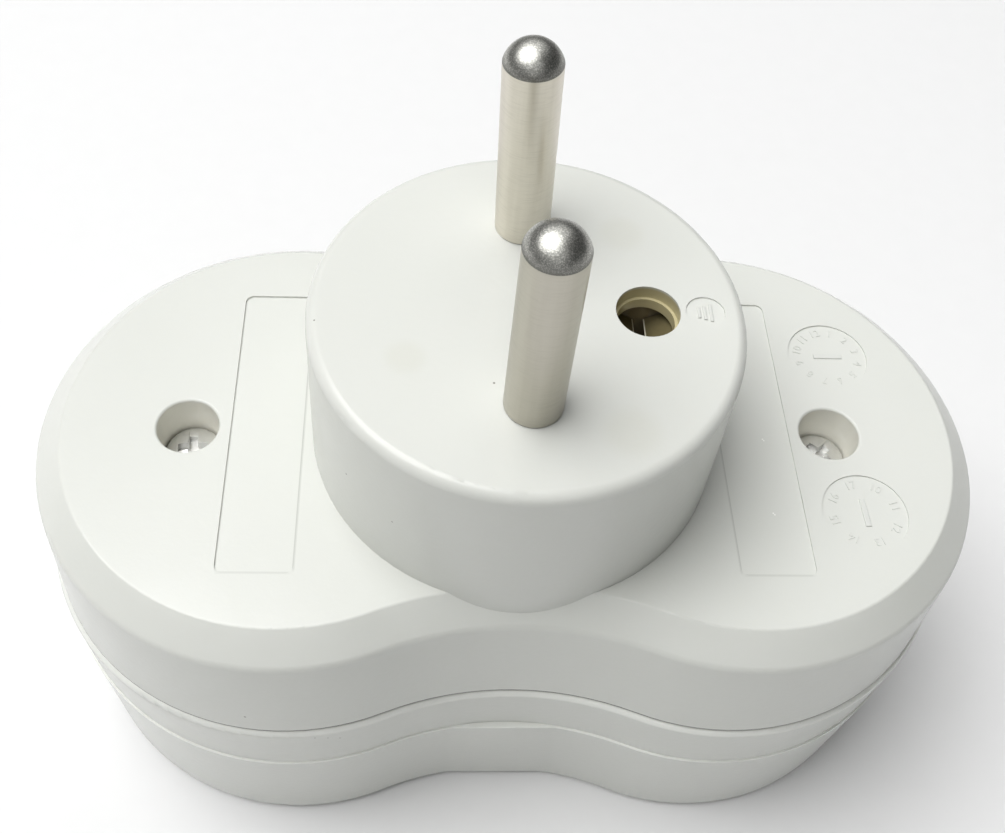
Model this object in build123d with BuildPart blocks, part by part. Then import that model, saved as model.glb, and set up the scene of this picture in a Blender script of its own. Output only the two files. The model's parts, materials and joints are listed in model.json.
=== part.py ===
from build123d import *
import os
from math import acos, atan2, cos, degrees, radians, sin, tan

# Double socket adapter. It stands on its two socket wells, with the plug and its pins pointing up (+Z).
# X runs through the two sockets, Y through the two live pins. Lengths are in millimetres.

os.makedirs("parts", exist_ok=True)

# Plug and socket pattern
pin_diameter = 4.8
pin_spacing = 19.0
pin_reach = 19.5
pin_crown = 1.85
pin_neck_diameter = 4.4
pin_neck_depth = 1.2
pin_neck_gap = 0.12
pin_bend_depth = 2.0
neutral_pin_lean = 1.9
earth_offset = 10.0
earth_pin_reach = 14.0
earth_pin_crown = 1.6
well_diameter = 39.0
well_depth = 15.0

# Plug boss on the rear cover
boss_face_diameter = 36.5
boss_base_diameter = 37.0
boss_height = 16.5
boss_wall = 2.2
boss_edge_radius = 1.0
plug_face_thickness = 2.4

# Two-lobed body
socket_spacing = 41.0
lobe_diameter = 46.8
waist_width = 39.0
body_height = 38.4
seam_height = 23.6
seam_gap = 0.2
wall = 2.2
wall_flare = 0.6
roof_thickness = 2.0
band_width = 2.6
band_drop = 2.6
face_edge_radius = 0.4
wall_edge_radius = 1.2

# Front cover
front_overhang = 0.4
front_lip_radius = 0.6
ledge_height = 16.0
ledge_width = 0.2
ledge_radius = 0.1
waist_fill = 0.4
upper_draft_angle = 2.4
lower_draft_angle = 2.6
foot_radius = 1.6
foot_thickness = 2.4
well_wall = 2.8
well_floor = 2.5
well_mouth_radius = 0.8
tongue_height = 1.6
tongue_thickness = 1.0
tongue_clearance = 0.12
web_thickness = 1.6

# Marks moulded into the rear face: two bare label panels and two mould-date dials
mark_offset = -0.45
panel_spacing = 45.2
panel_width = 6.7
panel_length = 30.6
panel_corner = 0.8
panel_depth = 0.2
dial_x = 31.5
dial_spacing = 17.7
dial_diameter = 7.8
dial_depth = 0.15
earth_mark_x = 14.8
earth_mark_diameter = 3.3
earth_mark_depth = 0.15

# Holes for pins
pin_hole_diameter = 5.4
pin_hole_lead = 0.6
earth_hole_mouth = 5.4
earth_hole_diameter = 4.9
earth_mouth_depth = 1.35
pin_clearance = 0.1
pin_lip_thickness = 0.8
pin_lip_clearance = 0.12

# Screws that hold the covers together
screw_spacing = 59.7
screw_offset = -0.8
screw_diameter = 3.0
screw_clearance = 0.2
thread_clearance = 0.05
screw_length = 12.4
screw_point = 1.5
screw_head_diameter = 5.1
screw_head_height = 1.8
screw_head_rim = 0.9
screw_head_depth = 3.3
screw_slot_width = 0.9
screw_slot_depth = 0.6
screw_cross_width = 0.8
screw_cross_length = 2.8
screw_cross_depth = 1.2
left_screw_turn = 4.0
right_screw_turn = -48.0
counterbore_diameter = 5.64
counterbore_edge_radius = 0.25
screw_post_diameter = 8.6
screw_boss_diameter = 7.0
screw_boss_height = 9.4
pilot_extra_depth = 1.0

# Live contacts
strip_thickness = 0.8
strip_width = 6.4
strip_overrun = 3.8
rivet_diameter = 3.2
rivet_clearance = 0.05
rivet_head_diameter = 5.0
rivet_head_height = 0.9
pin_collar_diameter = 7.4
pin_collar_height = 1.5
pin_post_diameter = 9.0
pin_post_length = 7.5
prop_clearance = 0.1
clip_thickness = 0.6
clip_width = 7.0
clip_grip = 4.3
clip_mouth = 5.4
clip_throat = 5.0
clip_spring_length = 11.0
clip_floor_clearance = 0.8

# Earth contacts
earth_collar_diameter = 8.0
earth_collar_height = 1.5
earth_strip_width = 8.0
earth_strip_overrun = 4.2
earth_clip_width = 5.0
earth_clip_foot = 7.0
earth_clip_grip = 0.9
earth_clip_mouth = 5.6
earth_clip_throat = 1.4
earth_clip_spring_length = 14.0
earth_clip_clearance = 0.3
earth_guide_diameter = 9.0
earth_guide_length = 6.0
earth_guide_clearance = 0.15

# Heights that follow from the sizes above
wall_top = body_height - band_drop
rear_foot = seam_height + seam_gap
ceiling = body_height - roof_thickness
plug_face = body_height + boss_height
face_inside = plug_face - plug_face_thickness
floor_top = well_depth + well_floor
strip_bottom = ceiling - strip_thickness
clip_end = floor_top + clip_floor_clearance
post_end = face_inside - pin_post_length
screw_seat = body_height - screw_head_depth - screw_head_height
screw_boss_top = floor_top + screw_boss_height
earth_strip_bottom = floor_top + earth_collar_height
earth_strip_top = earth_strip_bottom + strip_thickness
earth_clip_end = face_inside - earth_clip_clearance
earth_guide_end = face_inside - earth_guide_length

# Radii, angles and offsets that follow
pin_radius = pin_diameter / 2
neck_radius = pin_neck_diameter / 2
half_pin_spacing = pin_spacing / 2
half_socket_spacing = socket_spacing / 2
lobe_radius = lobe_diameter / 2
half_waist = waist_width / 2
waist_radius = (half_socket_spacing**2 + half_waist**2 - lobe_radius**2) / (2 * (lobe_radius - half_waist))
waist_centre = half_waist + waist_radius
blend_angle = degrees(atan2(waist_centre, half_socket_spacing))
flare_angle = degrees(atan2(wall_flare, wall_top - rear_foot))
band_angle = degrees(atan2(band_width, band_drop))
boss_draft = degrees(atan2((boss_base_diameter - boss_face_diameter) / 2, boss_height))
boss_root_radius = boss_base_diameter / 2 + band_drop * tan(radians(boss_draft))
boss_bore_radius = boss_face_diameter / 2 - boss_wall
inner_grow = wall_flare - wall
tongue_grow = inner_grow + tongue_thickness
front_grow = wall_flare + front_overhang
upper_grow = front_grow - (seam_height - ledge_height) * tan(radians(upper_draft_angle))
lower_grow = upper_grow + ledge_width
earth_pin_x = half_socket_spacing - earth_offset


def body_outline(grow, mode=Mode.ADD, fill=0):
    """Two round lobes joined by two hollow waists, the whole outline moved outwards by grow.

    A flat fills the middle of each hollow to the depth given by fill.
    """
    hollow = waist_radius - grow
    hollow_angle = 180 - 2 * blend_angle
    sweep = hollow_angle / 2 - degrees(acos(1 - fill / hollow))
    with BuildLine() as outline:
        for side in (-1, 1):
            start = blend_angle if side < 0 else blend_angle - 180
            waist = (0, side * waist_centre)
            CenterArc((side * half_socket_spacing, 0), lobe_radius + grow, start, 360 - 2 * blend_angle)
            if fill:
                near = CenterArc(waist, hollow, start, sweep)
                far = CenterArc(waist, hollow, start + hollow_angle - sweep, sweep)
                Line(near @ 1, far @ 0)
            else:
                CenterArc(waist, hollow, start, hollow_angle)
    make_face(outline.edges(), mode=mode)


def edges_at(builder, height):
    """The edges that lie in the level plane at this height."""
    return builder.edges().filter_by(lambda edge: all(abs(v.Z - height) < 1e-4 for v in edge.vertices()))


def round_edges_at(builder, height, radius):
    """The circular edges of this radius in the level plane at this height."""
    circles = edges_at(builder, height).filter_by(GeomType.CIRCLE)
    return circles.filter_by(lambda edge: abs(edge.radius - radius) < 1e-4)


def save(builder, name):
    """Label the finished piece and write it as its own file."""
    builder.part.label = name
    export_step(builder.part, f"parts/{name}.step")


# Rear cover: flared wall, sloping band, flat face and the plug boss, moulded in one
with BuildPart() as rear_cover:
    with BuildSketch(Plane.XY.offset(rear_foot)):
        body_outline(wall_flare)
    extrude(amount=wall_top - rear_foot, taper=flare_angle)
    with BuildSketch(Plane.XY.offset(wall_top)):
        body_outline(0)
    extrude(amount=band_drop, taper=band_angle)
    fillet(edges_at(rear_cover, wall_top), wall_edge_radius)
    fillet(edges_at(rear_cover, body_height), face_edge_radius)
    with BuildSketch(Plane.XY.offset(wall_top)):
        Circle(boss_root_radius)
    extrude(amount=plug_face - wall_top, taper=boss_draft)
    fillet(edges_at(rear_cover, plug_face), boss_edge_radius)

    # Hollow of the body, rebate for the tongue, hollow of the boss
    with BuildSketch(Plane.XY.offset(rear_foot)):
        body_outline(inner_grow)
    extrude(amount=ceiling - rear_foot, taper=flare_angle, mode=Mode.SUBTRACT)
    with BuildSketch(Plane.XY.offset(rear_foot)):
        body_outline(tongue_grow + tongue_clearance)
    extrude(amount=tongue_height + tongue_clearance, mode=Mode.SUBTRACT)
    with BuildSketch(Plane.XY.offset(ceiling)):
        Circle(boss_bore_radius)
    extrude(amount=face_inside - ceiling, mode=Mode.SUBTRACT)

    # Posts that guide the pins, ribs beside the earth clip, and posts that the screws pull down
    with BuildSketch(Plane.XY.offset(post_end)):
        with GridLocations(0, pin_spacing, 1, 2):
            Circle(pin_post_diameter / 2)
    extrude(amount=pin_post_length)
    with BuildSketch(Plane.XY.offset(earth_guide_end)):
        with Locations((earth_offset, 0)):
            Circle(earth_guide_diameter / 2)
            slot_width = earth_clip_width + 2 * earth_guide_clearance
            Rectangle(earth_guide_diameter, slot_width, mode=Mode.SUBTRACT)
    extrude(amount=earth_guide_length)
    with BuildSketch(Plane.XY.offset(screw_boss_top)):
        with Locations((0, screw_offset)):
            with GridLocations(screw_spacing, 0, 2, 1):
                Circle(screw_post_diameter / 2)
    extrude(amount=ceiling - screw_boss_top)

    # Pin holes, earth hole and screw holes
    with BuildSketch(Plane.XY.offset(post_end)):
        with GridLocations(0, pin_spacing, 1, 2):
            Circle(pin_radius + pin_clearance)
    extrude(amount=plug_face - pin_lip_thickness - post_end, mode=Mode.SUBTRACT)
    with BuildSketch(Plane.XY.offset(plug_face)):
        with GridLocations(0, pin_spacing, 1, 2):
            Circle(neck_radius + pin_lip_clearance)
    extrude(amount=-pin_lip_thickness, mode=Mode.SUBTRACT)
    with Locations((earth_offset, 0, plug_face)):
        CounterBoreHole(
            earth_hole_diameter / 2,
            earth_hole_mouth / 2,
            earth_mouth_depth,
            plug_face_thickness,
        )
    with Locations((0, screw_offset, body_height)):
        with GridLocations(screw_spacing, 0, 2, 1):
            CounterBoreHole(
                screw_diameter / 2 + screw_clearance,
                counterbore_diameter / 2,
                body_height - screw_seat,
                body_height - screw_boss_top,
            )
    fillet(round_edges_at(rear_cover, body_height, counterbore_diameter / 2), counterbore_edge_radius)

    # Shallow recesses of the panels, the dials and the earth mark
    with BuildSketch(Plane.XY.offset(body_height)):
        with Locations((0, mark_offset)):
            with GridLocations(panel_spacing, 0, 2, 1):
                RectangleRounded(panel_width, panel_length, panel_corner)
    extrude(amount=-panel_depth, mode=Mode.SUBTRACT)
    with BuildSketch(Plane.XY.offset(body_height)):
        with Locations((dial_x, mark_offset)):
            with GridLocations(0, dial_spacing, 1, 2):
                Circle(dial_diameter / 2)
    extrude(amount=-dial_depth, mode=Mode.SUBTRACT)
    with BuildSketch(Plane.XY.offset(plug_face)):
        with Locations((earth_mark_x, 0)):
            Circle(earth_mark_diameter / 2)
    extrude(amount=-earth_mark_depth, mode=Mode.SUBTRACT)
save(rear_cover, "rear_cover")

# Front cover: drafted wall with a fine ledge, two socket wells, screw bosses and a centre web
with BuildPart() as front_cover:
    with BuildSketch(Plane.XY.offset(ledge_height)):
        body_outline(lower_grow, fill=waist_fill)
    extrude(amount=-ledge_height, taper=lower_draft_angle)
    fillet(edges_at(front_cover, ledge_height), ledge_radius)
    fillet(edges_at(front_cover, 0), foot_radius)
    with BuildSketch(Plane.XY.offset(seam_height)):
        body_outline(front_grow)
    extrude(amount=ledge_height - seam_height, taper=upper_draft_angle)
    fillet(edges_at(front_cover, seam_height), front_lip_radius)

    # Hollow between the outer wall and the wells, then the walls and floors of the wells
    with BuildSketch(Plane.XY.offset(foot_thickness)):
        body_outline(inner_grow)
    extrude(amount=seam_height - foot_thickness, mode=Mode.SUBTRACT)
    with BuildSketch(Plane.XY.offset(foot_thickness)):
        with GridLocations(socket_spacing, 0, 2, 1):
            Circle(well_diameter / 2 + well_wall)
        body_outline(inner_grow, mode=Mode.INTERSECT)
    extrude(amount=floor_top - foot_thickness)

    # Tongue that centres the rear cover
    with BuildSketch(Plane.XY.offset(seam_height)):
        body_outline(tongue_grow)
        body_outline(inner_grow, mode=Mode.SUBTRACT)
    extrude(amount=tongue_height)

    # Centre web between the wells, with a prop under each live pin
    with BuildSketch(Plane.XY.offset(foot_thickness)):
        Rectangle(web_thickness, waist_width + 2 * inner_grow + wall)
    extrude(amount=earth_strip_bottom - prop_clearance - foot_thickness)
    with BuildSketch(Plane.XY.offset(foot_thickness)):
        with GridLocations(0, pin_spacing, 1, 2):
            Rectangle(web_thickness, strip_width)
    extrude(amount=strip_bottom - rivet_head_height - prop_clearance - foot_thickness)

    # Screw bosses on the well floors
    with BuildSketch(Plane.XY.offset(floor_top)):
        with Locations((0, screw_offset)):
            with GridLocations(screw_spacing, 0, 2, 1):
                Circle(screw_boss_diameter / 2)
    extrude(amount=screw_boss_height)

    # The wells and their rounded mouths
    with BuildSketch():
        with GridLocations(socket_spacing, 0, 2, 1):
            Circle(well_diameter / 2)
    extrude(amount=well_depth, mode=Mode.SUBTRACT)
    fillet(round_edges_at(front_cover, 0, well_diameter / 2), well_mouth_radius)

    # Live pin holes with their lead-ins, earth pin holes and screw pilots
    with Locations(Location((0, 0, well_depth), (180, 0, 0))):
        with GridLocations(socket_spacing, pin_spacing, 2, 2):
            CounterSinkHole(pin_hole_diameter / 2, pin_hole_diameter / 2 + pin_hole_lead, well_floor, 90)
    with BuildSketch(Plane.XY.offset(well_depth)):
        with GridLocations(2 * earth_pin_x, 0, 2, 1):
            Circle(pin_radius + pin_clearance)
    extrude(amount=well_floor, mode=Mode.SUBTRACT)
    with BuildSketch(Plane.XY.offset(screw_boss_top)):
        with Locations((0, screw_offset)):
            with GridLocations(screw_spacing, 0, 2, 1):
                Circle(screw_diameter / 2 + thread_clearance)
    extrude(amount=-screw_boss_height - pilot_extra_depth, mode=Mode.SUBTRACT)
save(front_cover, "front_cover")


def pin_tip(crown, reach, root):
    """Half section of a domed round pin and its neck, drawn upwards from root below the sketch's origin."""
    dome_radius = (pin_radius**2 + crown**2) / (2 * crown)
    shoulder = reach - crown
    with BuildLine() as section:
        RadiusArc((0, reach), (pin_radius, shoulder), dome_radius)
        Polyline(
            (pin_radius, shoulder),
            (pin_radius, pin_neck_gap),
            (neck_radius, pin_neck_gap),
            (neck_radius, -root),
            (0, -root),
            (0, reach),
        )
    make_face(section.edges())


def plug_pin(side, lean):
    """Turned live pin with a neck at the plug face, a collar, and a tail riveted through its strip.

    From the bend under the neck the pin leans towards -X by lean degrees.
    """
    y = side * half_pin_spacing
    shank_top = plug_face - pin_neck_depth
    tail_end = strip_bottom - rivet_head_height
    axis = Axis((0, y, 0), (0, 0, 1))
    lean_direction = Vector(-sin(radians(lean)), 0, cos(radians(lean)))
    lean_across = (cos(radians(lean)), 0, sin(radians(lean)))
    bend = Vector(0, y, plug_face - pin_bend_depth)
    pin_root = bend + lean_direction * pin_bend_depth
    lean_plane = Plane(origin=pin_root, x_dir=lean_across, z_dir=(0, -1, 0))
    with BuildPart() as pin:
        with BuildSketch(Plane.XZ.offset(-y)):
            with BuildLine():
                Polyline(
                    (0, shank_top),
                    (pin_radius, shank_top),
                    (pin_radius, post_end),
                    (pin_collar_diameter / 2, post_end),
                    (pin_collar_diameter / 2, post_end - pin_collar_height),
                    (pin_radius, post_end - pin_collar_height),
                    (pin_radius, ceiling),
                    (rivet_diameter / 2, ceiling),
                    (rivet_diameter / 2, strip_bottom),
                    (rivet_head_diameter / 2, strip_bottom),
                    (rivet_diameter / 2, tail_end),
                    (0, tail_end),
                    close=True,
                )
            make_face()
        revolve(axis=axis)
        with BuildSketch(lean_plane):
            pin_tip(pin_crown, pin_reach, pin_bend_depth)
        revolve(axis=Axis(pin_root, lean_direction))
    return pin


def live_strip(side):
    """Flat brass strip that joins a live pin to its two socket clips."""
    with BuildPart() as strip:
        with BuildSketch(Plane.XY.offset(strip_bottom)):
            with Locations((0, side * half_pin_spacing)):
                RectangleRounded(socket_spacing + 2 * strip_overrun, strip_width, strip_width / 4)
                Circle(rivet_diameter / 2 + rivet_clearance, mode=Mode.SUBTRACT)
        extrude(amount=strip_thickness)
    return strip


def spring_clip(plane, half_section, outer_side, width):
    """Clip bent from one strip: the inner line of one half, thickened outwards, mirrored and extruded."""
    with BuildPart() as clip:
        with BuildSketch(plane):
            with BuildLine():
                Polyline(*half_section)
                offset(amount=clip_thickness, side=outer_side, kind=Kind.INTERSECTION)
            make_face()
            mirror(about=Plane.YZ)
        extrude(amount=width / 2, both=True)
    return clip


def socket_clip(side_x, side_y):
    """Spring clip under a strip: two leaves that pinch a plug pin between them."""
    foot = strip_width - 2 * clip_thickness
    base = strip_bottom - clip_thickness
    centre = (side_x * half_socket_spacing, side_y * half_pin_spacing, 0)
    half_section = [
        (clip_mouth / 2, clip_end),
        (clip_grip / 2, clip_end + clip_throat),
        (foot / 2, clip_end + clip_spring_length),
        (foot / 2, base),
        (0, base),
    ]
    plane = Plane(origin=centre, x_dir=(0, 1, 0), z_dir=(1, 0, 0))
    return spring_clip(plane, half_section, Side.RIGHT, clip_width)


for name, side, lean in (("line", -1, 0), ("neutral", 1, neutral_pin_lean)):
    save(plug_pin(side, lean), f"{name}_pin")
    save(live_strip(side), f"{name}_strip")
    save(socket_clip(-1, side), f"{name}_clip_left")
    save(socket_clip(1, side), f"{name}_clip_right")

# Earth strip that ties both earth pins and the earth clip together
with BuildPart() as earth_strip:
    with BuildSketch(Plane.XY.offset(earth_strip_bottom)):
        RectangleRounded(2 * (earth_pin_x + earth_strip_overrun), earth_strip_width, earth_strip_width / 4)
        with GridLocations(2 * earth_pin_x, 0, 2, 1):
            Circle(rivet_diameter / 2 + rivet_clearance, mode=Mode.SUBTRACT)
    extrude(amount=strip_thickness)
save(earth_strip, "earth_strip")

# Earth clip: a fork that rises from the strip to just under the earth hole in the plug face
earth_clip_base = earth_strip_top + clip_thickness
earth_clip_plane = Plane(origin=(earth_offset, 0, 0), x_dir=(1, 0, 0), z_dir=(0, -1, 0))
earth_clip_section = [
    (earth_clip_mouth / 2, earth_clip_end),
    (earth_clip_grip / 2, earth_clip_end - earth_clip_throat),
    (earth_clip_foot / 2, earth_clip_end - earth_clip_spring_length),
    (earth_clip_foot / 2, earth_clip_base),
    (0, earth_clip_base),
]
earth_fork = spring_clip(earth_clip_plane, earth_clip_section, Side.LEFT, earth_clip_width)
with BuildPart() as earth_clip:
    add(earth_fork.part)
    with BuildSketch(Plane.XY.offset(earth_strip_top)):
        with Locations((earth_pin_x, 0)):
            Circle(rivet_diameter / 2 + rivet_clearance)
    extrude(amount=clip_thickness, mode=Mode.SUBTRACT)
save(earth_clip, "earth_clip")


def earth_pin(side, clamped):
    """Earth pin of a socket: it stands in the well and is riveted over what its collar clamps."""
    x = side * earth_pin_x
    tail_top = earth_strip_bottom + clamped
    tip_plane = Plane(origin=(x, 0, well_depth), x_dir=(1, 0, 0), z_dir=(0, 1, 0))
    with BuildPart() as pin:
        with BuildSketch(tip_plane):
            pin_tip(earth_pin_crown, earth_pin_reach, pin_neck_depth)
        revolve(axis=Axis((x, 0, 0), (0, 0, 1)))
        with BuildSketch(Plane(origin=(x, 0, 0), x_dir=(1, 0, 0), z_dir=(0, -1, 0))):
            with BuildLine():
                Polyline(
                    (0, well_depth + pin_neck_depth),
                    (pin_radius, well_depth + pin_neck_depth),
                    (pin_radius, floor_top),
                    (earth_collar_diameter / 2, floor_top),
                    (earth_collar_diameter / 2, earth_strip_bottom),
                    (rivet_diameter / 2, earth_strip_bottom),
                    (rivet_diameter / 2, tail_top),
                    (rivet_head_diameter / 2, tail_top),
                    (rivet_diameter / 2, tail_top + rivet_head_height),
                    (0, tail_top + rivet_head_height),
                    close=True,
                )
            make_face()
        revolve(axis=Axis((x, 0, 0), (0, 0, 1)))
    return pin


save(earth_pin(-1, strip_thickness), "earth_pin_left")
save(earth_pin(1, strip_thickness + clip_thickness), "earth_pin_right")

# Two pan-head screws, each with a slot across its head and a cross recess, turned as they were driven home
with BuildPart() as housing_screws:
    head_top = screw_seat + screw_head_height
    point_end = screw_seat - screw_length
    for screw_x, turn in ((-screw_spacing / 2, left_screw_turn), (screw_spacing / 2, right_screw_turn)):
        with BuildSketch(Plane(origin=(screw_x, screw_offset, 0), x_dir=(1, 0, 0), z_dir=(0, -1, 0))):
            with BuildLine():
                ThreePointArc(
                    (0, head_top),
                    (screw_head_diameter / 4, head_top - (screw_head_height - screw_head_rim) / 4),
                    (screw_head_diameter / 2, screw_seat + screw_head_rim),
                )
                Polyline(
                    (screw_head_diameter / 2, screw_seat + screw_head_rim),
                    (screw_head_diameter / 2, screw_seat),
                    (screw_diameter / 2, screw_seat),
                    (screw_diameter / 2, point_end + screw_point),
                    (0, point_end),
                    (0, head_top),
                )
            make_face()
        revolve(axis=Axis((screw_x, screw_offset, 0), (0, 0, 1)))
        with BuildSketch(Plane.XY.offset(head_top)):
            with Locations(Location((screw_x, screw_offset), turn)):
                Rectangle(screw_slot_width, screw_head_diameter)
        extrude(amount=-screw_slot_depth, mode=Mode.SUBTRACT)
        with BuildSketch(Plane.XY.offset(head_top)):
            with Locations(Location((screw_x, screw_offset), turn)):
                Rectangle(screw_cross_length, screw_cross_width)
                Rectangle(screw_cross_width, screw_cross_length)
        extrude(amount=-screw_cross_depth, mode=Mode.SUBTRACT)
save(housing_screws, "housing_screws")
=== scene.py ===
import json
from math import cos, pi, radians, sin, tau

import bmesh
import bpy
from mathutils import Matrix, Vector


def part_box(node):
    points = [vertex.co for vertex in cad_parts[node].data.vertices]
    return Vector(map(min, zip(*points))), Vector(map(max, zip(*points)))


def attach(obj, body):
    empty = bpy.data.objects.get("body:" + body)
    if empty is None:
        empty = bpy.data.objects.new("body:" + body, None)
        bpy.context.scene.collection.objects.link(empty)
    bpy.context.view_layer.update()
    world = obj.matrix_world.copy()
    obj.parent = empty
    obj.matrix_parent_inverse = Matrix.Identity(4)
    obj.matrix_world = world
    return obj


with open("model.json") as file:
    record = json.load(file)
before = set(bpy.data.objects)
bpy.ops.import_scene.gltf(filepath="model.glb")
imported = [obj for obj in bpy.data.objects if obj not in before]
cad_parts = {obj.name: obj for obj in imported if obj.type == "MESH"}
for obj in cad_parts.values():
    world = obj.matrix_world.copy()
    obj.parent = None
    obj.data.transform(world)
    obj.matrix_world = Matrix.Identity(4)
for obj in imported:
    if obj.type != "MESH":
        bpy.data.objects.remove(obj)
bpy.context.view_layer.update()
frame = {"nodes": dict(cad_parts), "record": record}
mounts = {mount["name"]: mount for mount in frame["record"]["mounts"]}

# Lengths are in metres, in the frame of the part: it stands on its sockets, with its pins upwards.
MM = 0.001

# Heights and places on the part
rear_face = 38.4 * MM
plug_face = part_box("rear_cover")[1].z
dial_places = {"upper": Vector((31.5, 8.4, 0)) * MM, "lower": Vector((31.5, -9.3, 0)) * MM}
dial_depth = 0.15 * MM
earth_mark_place = Vector((14.8, 0, 0)) * MM
earth_mark_depth = 0.15 * MM
earth_hole_place = Vector(mounts["earth_hole"]["pos_m"])
earth_mouth_radius = 2.7 * MM
earth_dark_radius = 8.0 * MM
earth_tint_depth = 10.0 * MM
earth_grip_places = (Vector((9.55, 0, 50.8)) * MM, Vector((10.45, 0, 50.8)) * MM)
plug_face_thickness = 2.4 * MM
panel_place = 22.6 * MM
panel_half_width = 3.35 * MM
panel_half_length = 15.3 * MM
panel_depth = 0.2 * MM
panel_offset = -0.45 * MM
seam_height = 23.6 * MM
ledge_height = 16.0 * MM
screw_places = (Vector((-29.85, -0.8, 0)) * MM, Vector((29.85, -0.8, 0)) * MM)
counterbore_radius = 2.82 * MM
counterbore_depth = 6.0 * MM
pin_crown = 1.85 * MM
earth_pin_crown = 1.6 * MM
sharp_angle = radians(32)

# The studio round the part
floor_half_width = 3.0
lamp_distance = 1.5

# Camera: where it stood, and how the photograph was framed
image_width = 1005
image_height = 833
camera_azimuth = -5.216
camera_elevation = 53.026
camera_roll = 5.019
camera_distance = 95.28 * MM
camera_target = Vector((-4.298, -6.434, 54.93)) * MM
focal_pixels = 1208.0
optical_centre_x = 477.5
optical_centre_y = 370.7


class Field:
    """One output of a shader node. Arithmetic on it adds Math nodes to its material."""

    def __init__(self, finish, socket):
        self.finish = finish
        self.socket = socket

    def joined(self, operation, first, second):
        return self.finish.node("ShaderNodeMath", {"operation": operation}, {0: first, 1: second})

    def __add__(self, other):
        return self.joined("ADD", self, other)

    def __sub__(self, other):
        return self.joined("SUBTRACT", self, other)

    def __rsub__(self, other):
        return self.joined("SUBTRACT", other, self)

    def __mul__(self, other):
        return self.joined("MULTIPLY", self, other)

    def __abs__(self):
        return self.finish.node("ShaderNodeMath", {"operation": "ABSOLUTE"}, {0: self})

    __radd__ = __add__
    __rmul__ = __mul__


class Finish:
    """A material that is built up node by node. Its patterns read the object's own coordinates."""

    def __init__(self, name):
        self.material = bpy.data.materials.new(name)
        self.material.use_nodes = True
        self.tree = self.material.node_tree
        self.tree.nodes.clear()
        self.place = self.node("ShaderNodeTexCoord", output="Object")

    def node(self, kind, settings=None, inputs=None, output=0):
        """Add a node: first its settings, then the values or links of its sockets."""
        made = self.tree.nodes.new(kind)
        for name, value in (settings or {}).items():
            setattr(made, name, value)
        for key, value in (inputs or {}).items():
            if isinstance(value, Field):
                self.tree.links.new(value.socket, made.inputs[key])
            else:
                made.inputs[key].default_value = value
        return Field(self, made.outputs[output]) if made.outputs else None

    def vector(self, operation, first, second, output=0):
        """Vector maths on two places. Output 0 is a vector, and output 1 is a number."""
        return self.node("ShaderNodeVectorMath", {"operation": operation}, {0: first, 1: second}, output)

    def noise(self, scale, detail=2.0, density=(1, 1, 1)):
        """Cloudy pattern from 0 to 1: scale patches to the metre, times the density along each axis."""
        place = self.vector("MULTIPLY", self.place, density)
        return self.node("ShaderNodeTexNoise", None, {"Vector": place, "Scale": scale, "Detail": detail})

    def rise(self, value, low, high):
        """0 below low and 1 above high, with a smooth step between them. low may be the larger one."""
        ends = {"Value": value, "From Min": low, "From Max": high}
        return self.node("ShaderNodeMapRange", {"interpolation_type": "SMOOTHSTEP"}, ends)

    def band(self, value, low, high):
        """1 between low and high, with soft edges 0.04 mm wide."""
        soft = 0.04 * MM
        return self.rise(value, low - soft, low) * self.rise(value, high + soft, high)

    def mix(self, factor, first, second):
        """Colour that goes from first to second as factor goes from 0 to 1."""
        settings = {"data_type": "RGBA", "clamp_factor": True}
        return self.node("ShaderNodeMix", settings, {0: factor, 6: first, 7: second}, output=2)

    def coordinate(self, axis):
        """One of the coordinates X, Y and Z."""
        return self.node("ShaderNodeSeparateXYZ", None, {0: self.place}, output=axis)

    def distance(self, point, axes=(1, 1, 1)):
        """How far the surface is from a point, measured along the axes that are marked with 1."""
        place = self.vector("MULTIPLY", self.place, axes)
        return self.vector("DISTANCE", place, point * Vector(axes), output=1)

    def along(self, start, axis):
        """How far the surface lies past start, measured along axis."""
        offset = self.vector("SUBTRACT", self.place, start)
        return self.vector("DOT_PRODUCT", offset, axis, output=1)

    def round_hole(self, centre, radius, top, depth):
        """1 inside an upright round hole, from its mouth at height top down to a depth."""
        fade = 0.4 * MM
        height = self.coordinate("Z")
        below = self.rise(height, top, top - fade)
        above = self.rise(height, top - depth, top - depth + fade)
        inside = self.rise(self.distance(centre, (1, 1, 0)), radius + 0.15 * MM, radius + 0.05 * MM)
        return inside * below * above

    def grain(self, height, depth):
        """Small unevenness of the surface, from a pattern of heights."""
        return self.node("ShaderNodeBump", None, {"Height": height, "Distance": depth, "Strength": 1.0})

    def coat(self, constants, **varying):
        """Finish the material with one Principled shader."""
        inputs = {name.replace("_", " "): value for name, value in varying.items()}
        shader = self.node("ShaderNodeBsdfPrincipled", None, {**constants, **inputs})
        self.node("ShaderNodeOutputMaterial", None, {"Surface": shader})
        return self.material


# Marks on the white plastic: centre and radius in millimetres
specks = (
    ((-17.41, -1.54, 54.9), 0.11),
    ((-3.02, -7.59, 54.9), 0.13),
    ((-14.70, -11.02, 46.74), 0.12),
    ((-10.88, -14.82, 45.64), 0.10),
    ((-23.73, -23.64, 26.39), 0.14),
    ((-17.75, -24.20, 22.68), 0.10),
    ((-16.61, -24.01, 22.17), 0.09),
    ((-15.55, -23.80, 21.59), 0.10),
)
nicks = (
    ((23.42, -1.42, 38.2), 0.10),
    ((23.52, -1.58, 38.2), 0.10),
    ((23.10, -9.38, 38.2), 0.10),
    ((23.22, -9.54, 38.2), 0.10),
)
beige_patches = (
    ((8.52, 8.68, 54.9), 2.6),
    ((7.52, -12.06, 54.9), 3.0),
    ((-10.02, -5.16, 54.9), 2.2),
)


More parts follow.
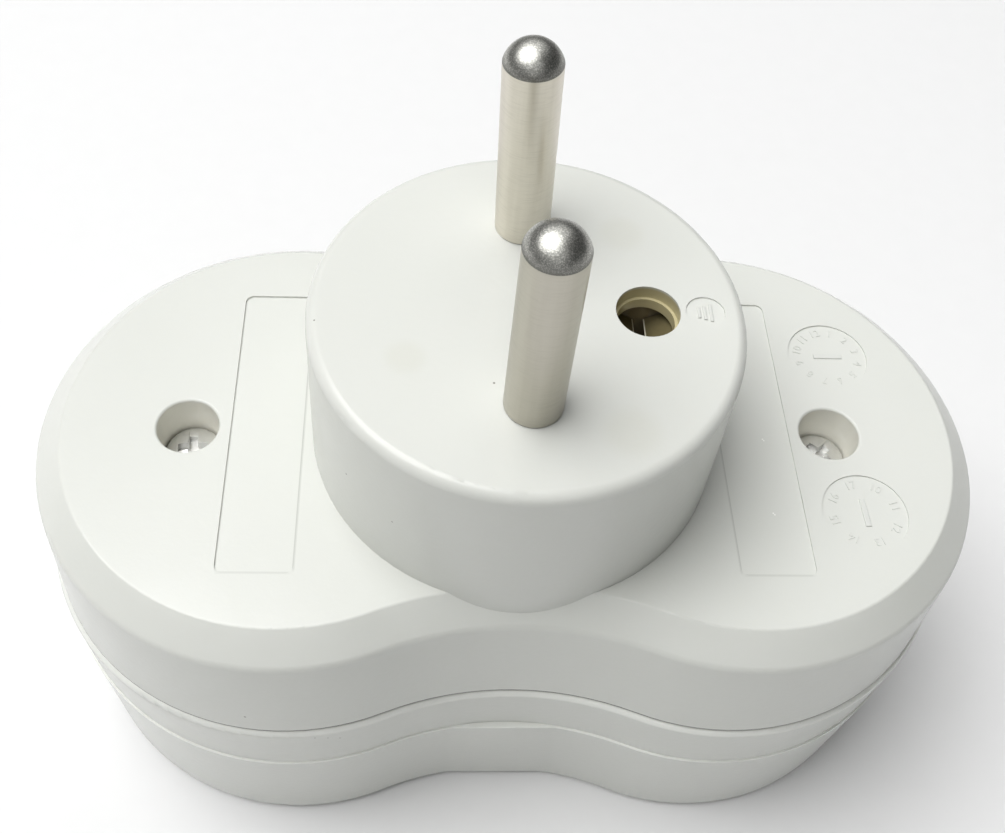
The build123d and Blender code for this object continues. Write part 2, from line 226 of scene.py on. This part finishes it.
def moulded_white(name):
    """White moulded plastic: faintly mottled, semi-gloss, with dark specks, a painted brass reflection and
    dark brown in its earth hole, painted light in its screw holes, painted shade in its seam and along its
    panel edges, and painted highlights on its lip and ledge.
    """
    finish = Finish(name)
    cloud = finish.noise(70, 3.0)
    colour = finish.mix(cloud, (0.625, 0.637, 0.598, 1), (0.65, 0.658, 0.622, 1))

    # In the earth hole, a painted reflection of the brass at its mouth and dark brown inside the boss below
    # the plug face, and painted light in the screw holes
    for radius, top, tint in (
        (earth_mouth_radius, plug_face, (0.50, 0.44, 0.24, 1)),
        (earth_dark_radius, plug_face - plug_face_thickness + 0.1 * MM, (0.17, 0.135, 0.08, 1)),
    ):
        hole_tint = finish.round_hole(earth_hole_place, radius, top, earth_tint_depth)
        colour = finish.mix(hole_tint * 0.9, colour, tint)
    # Painted light: a pale beige tint brightens the walls of the screw holes
    for place in screw_places:
        painted_light = finish.round_hole(place, counterbore_radius, rear_face, counterbore_depth)
        colour = finish.mix(painted_light * 0.8, colour, (0.87, 0.855, 0.78, 1))

    # Painted shade: thin dark lines along the inner and the front edge of the sunken label panels
    height = finish.coordinate("Z")
    sunken = finish.band(height, rear_face - 1.5 * panel_depth, rear_face - 0.02 * MM)
    inwards = panel_place - abs(finish.coordinate("X"))
    forwards = panel_offset - finish.coordinate("Y")
    inner_edge_shade = finish.band(inwards, panel_half_width - 0.1 * MM, panel_half_width + 0.08 * MM)
    inner_edge_shade = inner_edge_shade * finish.rise(abs(forwards), panel_half_length, panel_half_length - 0.5 * MM)
    front_edge_shade = finish.band(forwards, panel_half_length - 0.25 * MM, panel_half_length + 0.05 * MM)
    front_edge_shade = front_edge_shade * finish.rise(abs(inwards), panel_half_width, panel_half_width - 0.5 * MM)
    for edge, strength in ((inner_edge_shade, 0.5), (front_edge_shade, 0.25)):
        colour = finish.mix(edge * sunken * strength, colour, (0.33, 0.34, 0.31, 1))

    # Painted shade in the seam between the covers, and painted highlights on the lip and the ledge below it
    seam_shade = finish.band(height, seam_height + 0.06 * MM, seam_height + 0.33 * MM)
    colour = finish.mix(seam_shade * 0.75, colour, (0.13, 0.13, 0.115, 1))
    # Painted highlights: the lip under the seam and the ledge are made lighter
    lip = finish.rise(height, seam_height - 0.6 * MM, seam_height - 0.3 * MM)
    lip = lip * finish.rise(height, seam_height + 0.06 * MM, seam_height)
    ledge = finish.band(height, ledge_height - 0.15 * MM, ledge_height + 0.15 * MM)
    for painted_highlight in (lip, ledge):
        colour = finish.mix(painted_highlight * 0.45, colour, (0.86, 0.87, 0.83, 1))

    # Beige patches, specks and nicks
    for marks, strength, tint in (
        (beige_patches, 0.13, (0.50, 0.49, 0.37, 1)),
        (specks, 0.80, (0.10, 0.09, 0.07, 1)),
        (nicks, 0.80, (0.95, 0.95, 0.92, 1)),
    ):
        for centre, radius in marks:
            away = finish.distance(Vector(centre) * MM)
            mark = finish.rise(away, radius * MM, 0.4 * radius * MM)
            colour = finish.mix(mark * strength, colour, tint)

    # The gloss, and the grain of the mould
    roughness = 0.21 + 0.06 * cloud
    normal = finish.grain(finish.noise(1800, 3.0), 0.012 * MM)
    constants = {
        "Specular IOR Level": 0.35,
        "Subsurface Weight": 0.12,
        "Subsurface Radius": (1.0, 0.95, 0.85),
        "Subsurface Scale": 0.8 * MM,
    }
    return finish.coat(constants, Base_Color=colour, Roughness=roughness, Normal=normal)


def satin_nickel(name, shoulder, axis, paleness):
    """Turned nickel-plated pin: a bright satin shaft, and past its shoulder a darker, blasted dome.

    Paleness from 0 to 1 turns the shaft paler and warmer.
    """
    finish = Finish(name)
    past = finish.along(shoulder, axis)
    dome = finish.rise(past, -0.02 * MM, 0.02 * MM)
    bands = finish.noise(900, 3.0, (1.0, 1.0, 0.04))
    marks = finish.noise(2600, 2.0, (0.25, 0.25, 3.0))
    plain_shaft = finish.mix(bands, (0.43, 0.41, 0.35, 1), (0.52, 0.50, 0.44, 1))
    paler_shaft = finish.mix(bands, (0.60, 0.565, 0.485, 1), (0.84, 0.80, 0.71, 1))
    shaft_colour = finish.mix(paleness, plain_shaft, paler_shaft)
    shaft_colour = finish.mix(finish.rise(marks, 0.45, 0.75) * 0.12, shaft_colour, (0.33, 0.315, 0.27, 1))
    pits = finish.noise(10000)
    dome_colour = finish.mix(finish.rise(pits, 0.42, 0.68), (0.38, 0.38, 0.35, 1), (0.74, 0.73, 0.69, 1))
    # Painted shade: the dome darkens towards its rim at the shoulder
    dome_colour = finish.mix(finish.rise(past, 0.6 * MM, 0.0) * 0.8, dome_colour, (0.08, 0.08, 0.07, 1))
    colour = finish.mix(dome, shaft_colour, dome_colour)
    shaft_roughness = 0.30 + 0.12 * marks
    roughness = shaft_roughness + dome * (0.38 - shaft_roughness)
    normal = finish.grain(dome * pits + (1 - dome) * (0.25 * marks), 0.014 * MM)
    return finish.coat({"Metallic": 1.0}, Base_Color=colour, Roughness=roughness, Normal=normal)


def contact_brass(name):
    """Stamped brass strip with a dull tarnish in patches."""
    finish = Finish(name)
    tarnish = finish.noise(500, 4.0)
    colour = finish.mix(tarnish, (0.23, 0.195, 0.10, 1), (0.14, 0.12, 0.065, 1))

    # Painted highlights along the edges of the grip of the earth clip
    for place in earth_grip_places:
        painted_highlight = finish.rise(finish.distance(place, (1, 0, 1)), 0.16 * MM, 0.06 * MM)
        colour = finish.mix(painted_highlight, colour, (0.92, 0.88, 0.74, 1))
    roughness = 0.34 + 0.25 * tarnish
    normal = finish.grain(finish.noise(4000), 0.01 * MM)
    return finish.coat({"Metallic": 1.0}, Base_Color=colour, Roughness=roughness, Normal=normal)


def zinc_plate(name):
    """Zinc-plated steel, pale and a little patchy."""
    finish = Finish(name)
    patches = finish.noise(1500, 3.0)
    colour = finish.mix(patches, (0.66, 0.66, 0.645, 1), (0.80, 0.80, 0.78, 1))
    roughness = 0.26 + 0.2 * patches
    normal = finish.grain(finish.noise(6000), 0.015 * MM)
    return finish.coat({"Metallic": 0.8}, Base_Color=colour, Roughness=roughness, Normal=normal)


def pale_floor(name):
    """Matt pale paper under the part."""
    finish = Finish(name)
    fibre = finish.noise(300, 3.0)
    colour = finish.mix(fibre, (0.75, 0.75, 0.75, 1), (0.77, 0.77, 0.77, 1))
    return finish.coat({}, Base_Color=colour, Roughness=0.7 + 0.1 * fibre)


def even_shading():
    """Geometry nodes that join the loose triangles of a modelled node and keep its true edges sharp."""
    tree = bpy.data.node_groups.new("even_shading", "GeometryNodeTree")
    tree.interface.new_socket("Geometry", in_out="INPUT", socket_type="NodeSocketGeometry")
    tree.interface.new_socket("Geometry", in_out="OUTPUT", socket_type="NodeSocketGeometry")
    start = tree.nodes.new("NodeGroupInput")
    joined = tree.nodes.new("GeometryNodeMergeByDistance")
    joined.inputs["Distance"].default_value = 0.001 * MM
    angle = tree.nodes.new("GeometryNodeInputMeshEdgeAngle")
    sharp = tree.nodes.new("FunctionNodeCompare")
    sharp.operation = "GREATER_THAN"
    sharp.inputs[1].default_value = sharp_angle
    normal = tree.nodes.new("GeometryNodeSetMeshNormal")
    normal.mode = "SHARPNESS"
    normal.inputs["Remove Custom"].default_value = True
    end = tree.nodes.new("NodeGroupOutput")
    tree.links.new(start.outputs[0], joined.inputs["Geometry"])
    tree.links.new(joined.outputs[0], normal.inputs["Mesh"])
    tree.links.new(angle.outputs["Unsigned Angle"], sharp.inputs[0])
    tree.links.new(sharp.outputs[0], normal.inputs["Edge Sharpness"])
    tree.links.new(normal.outputs[0], end.inputs[0])
    return tree


def dress(material, *nodes):
    """Give modelled nodes their finish and an even shading."""
    for node in nodes:
        shape = frame["nodes"][node]
        shape.data.materials[0] = material
        shape.modifiers.new("even_shading", "NODES").node_group = shading
        flat = shape.modifiers.new("flat_faces_stay_flat", "WEIGHTED_NORMAL")
        flat.mode = "FACE_AREA"
        flat.weight = 100
        flat.keep_sharp = True


def shoulder_of(mount_name, node, crown):
    """Where a pin's dome starts on its axis, and the direction in which the pin points."""
    mount = mounts[mount_name]
    axis = Vector(mount["axis"])
    middle = Vector(mount["pos_m"])
    low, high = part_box(node)
    tip_height = high.z if axis.z > 0 else low.z
    tip = middle + axis * ((tip_height - middle.z) / axis.z)
    return tip - axis * crown, axis


def piece_from(name, shape, material):
    """Turn a finished bmesh into a piece of the part that moves with it."""
    mesh = bpy.data.meshes.new(name)
    bmesh.ops.recalc_face_normals(shape, faces=shape.faces)
    shape.to_mesh(mesh)
    shape.free()
    mesh.materials.append(material)
    piece = bpy.data.objects.new(name, mesh)
    bpy.context.scene.collection.objects.link(piece)
    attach(piece, "root")


def add_bar(shape, centre, length, width, height, turn):
    """Raised bar with softened edges, lying on the point centre and turned about Z."""
    place = Matrix.Translation(centre) @ Matrix.Rotation(turn, 4, "Z")
    size = Matrix.Diagonal((length, width, height, 1))
    lift = Matrix.Translation((0, 0, 0.5))
    bar = bmesh.ops.create_cube(shape, size=1, matrix=place @ size @ lift)
    top = [edge for vert in bar["verts"] for edge in vert.link_edges]
    top = [edge for edge in set(top) if all(vert.co.z > centre.z + height / 2 for vert in edge.verts)]
    soft = min(width, height) * 0.4
    bmesh.ops.bevel(shape, geom=top, offset=soft, affect="EDGES", segments=2, profile=0.5, material=-1)


def add_number(shape, text, centre, size, height, turn):
    """Raised plain number, centred on a point and turned about Z."""
    curve = bpy.data.curves.new("number", "FONT")
    curve.body = text
    curve.align_x = "CENTER"
    curve.align_y = "CENTER"
    curve.extrude = 0.5
    curve.resolution_u = 2
    letters = bpy.data.objects.new("number", curve)
    bpy.context.scene.collection.objects.link(letters)
    bpy.context.view_layer.update()
    mesh = bpy.data.meshes.new_from_object(letters.evaluated_get(bpy.context.evaluated_depsgraph_get()))
    scale = Matrix.Diagonal((size, size, height, 1))
    mesh.transform(Matrix.Translation(centre) @ Matrix.Rotation(turn, 4, "Z") @ scale)
    shape.from_mesh(mesh)
    bpy.data.objects.remove(letters)
    bpy.data.curves.remove(curve)
    bpy.data.meshes.remove(mesh)


def dial_marks(name, centre, pointer_turn, numbers, start_turn, material):
    """Marks on a mould-date dial: a ring of plain numbers round a short raised bar."""
    pointer_length = 2.8 * MM
    pointer_width = 0.5 * MM
    pointer_height = 0.12 * MM
    number_ring = 2.95 * MM
    number_size = 1.15 * MM
    number_height = 0.1 * MM
    shape = bmesh.new()
    base = Vector((centre.x, centre.y, rear_face - dial_depth))
    add_bar(shape, base, pointer_length, pointer_width, pointer_height, pointer_turn)
    for index, text in enumerate(numbers):
        turn = start_turn - tau * index / len(numbers)
        spot = Vector((cos(turn), sin(turn), 0)) * number_ring
        add_number(shape, text, base + spot, number_size, number_height, turn - pi / 2)
    piece_from(name, shape, material)


def earth_mark(material):
    """Raised earth sign in its round recess: three bars of growing length."""
    bar_offsets = (-0.53 * MM, -0.05 * MM, 0.47 * MM)
    bar_lengths = (1.1 * MM, 1.45 * MM, 1.8 * MM)
    bar_width = 0.26 * MM
    bar_height = 0.13 * MM
    shape = bmesh.new()
    base = Vector((earth_mark_place.x, earth_mark_place.y, plug_face - earth_mark_depth))
    for offset, length in zip(bar_offsets, bar_lengths):
        add_bar(shape, base + Vector((offset, 0, 0)), length, bar_width, bar_height, pi / 2)
    piece_from("earth_mark", shape, material)


def light(name, direction, size, power):
    """Soft round lamp that looks at the middle of the part."""
    lamp = bpy.data.lights.new(name, "AREA")
    lamp.shape = "DISK"
    lamp.size = size
    lamp.energy = power
    stand = bpy.data.objects.new(name, lamp)
    towards = Vector(direction).normalized()
    stand.location = Vector((0, 0, rear_face)) + towards * lamp_distance
    stand.rotation_euler = towards.to_track_quat("Z", "Y").to_euler()
    bpy.context.scene.collection.objects.link(stand)


def studio():
    """Pale floor, dim surroundings, a key lamp at the upper left, and weak lamps behind and in front."""
    shape = bmesh.new()
    bmesh.ops.create_grid(shape, x_segments=1, y_segments=1, size=floor_half_width)
    mesh = bpy.data.meshes.new("floor")
    shape.to_mesh(mesh)
    shape.free()
    mesh.materials.append(pale_floor("pale_floor"))
    floor = bpy.data.objects.new("floor", mesh)
    bpy.context.scene.collection.objects.link(floor)

    world = bpy.data.worlds.new("studio")
    world.use_nodes = True
    surroundings = world.node_tree.nodes["Background"].inputs
    surroundings["Color"].default_value = (0.97, 1.0, 0.99, 1)
    surroundings["Strength"].default_value = 0.045
    bpy.context.scene.world = world
    light("key", (-0.38, 0.03, 0.925), 1.36, 28.0)
    light("back", (0, 0.55, 0.83), 1.73, 6.6)
    light("front", (-0.05, -0.7, 0.71), 1.73, 4.0)


def camera():
    """Camera at the photograph's place, turn and framing."""
    azimuth = radians(camera_azimuth)
    elevation = radians(camera_elevation)
    roll = radians(camera_roll)
    back = Vector((sin(azimuth) * cos(elevation), -cos(azimuth) * cos(elevation), sin(elevation)))
    level = Vector((cos(azimuth), sin(azimuth), 0))
    raised = back.cross(level)
    right = level * cos(roll) + raised * sin(roll)
    up = raised * cos(roll) - level * sin(roll)
    data = bpy.data.cameras.new("camera")
    data.sensor_fit = "HORIZONTAL"
    data.lens = focal_pixels / image_width * data.sensor_width
    data.shift_x = (image_width / 2 - optical_centre_x) / image_width
    data.shift_y = (optical_centre_y - image_height / 2) / image_width
    data.clip_start = 1 * MM
    data.clip_end = 20.0
    eye = bpy.data.objects.new("camera", data)
    turn = Matrix((right, up, back)).transposed().to_4x4()
    eye.matrix_world = Matrix.Translation(camera_target + back * camera_distance) @ turn
    bpy.context.scene.collection.objects.link(eye)
    bpy.context.scene.camera = eye


shading = even_shading()
white = moulded_white("moulded_white")
dress(white, "rear_cover", "front_cover")
for mount_name, node, crown, paleness in (
    ("line_pin", "line_pin", pin_crown, 0.1),
    ("neutral_pin", "neutral_pin", pin_crown, 0.9),
    ("left_earth_pin", "earth_pin_left", earth_pin_crown, 0.3),
    ("right_earth_pin", "earth_pin_right", earth_pin_crown, 0.3),
):
    shoulder, axis = shoulder_of(mount_name, node, crown)
    dress(satin_nickel(f"satin_nickel_{node}", shoulder, axis, paleness), node)
subparts = frame["record"]["subparts"]
brass_nodes = [part["node"] for part in subparts if part["material_slot"] == "contact_brass"]
dress(contact_brass("contact_brass"), *brass_nodes)
dress(zinc_plate("zinc_plate"), "housing_screws")

months = [str(month) for month in range(1, 13)]
years = [str(year) for year in range(10, 18)]
dial_marks("upper_dial_marks", dial_places["upper"], 0.0, months, radians(75), white)
dial_marks("lower_dial_marks", dial_places["lower"], radians(-88), years, radians(60), white)
earth_mark(white)

studio()
camera()
bpy.context.scene.view_settings.view_transform = "Standard"
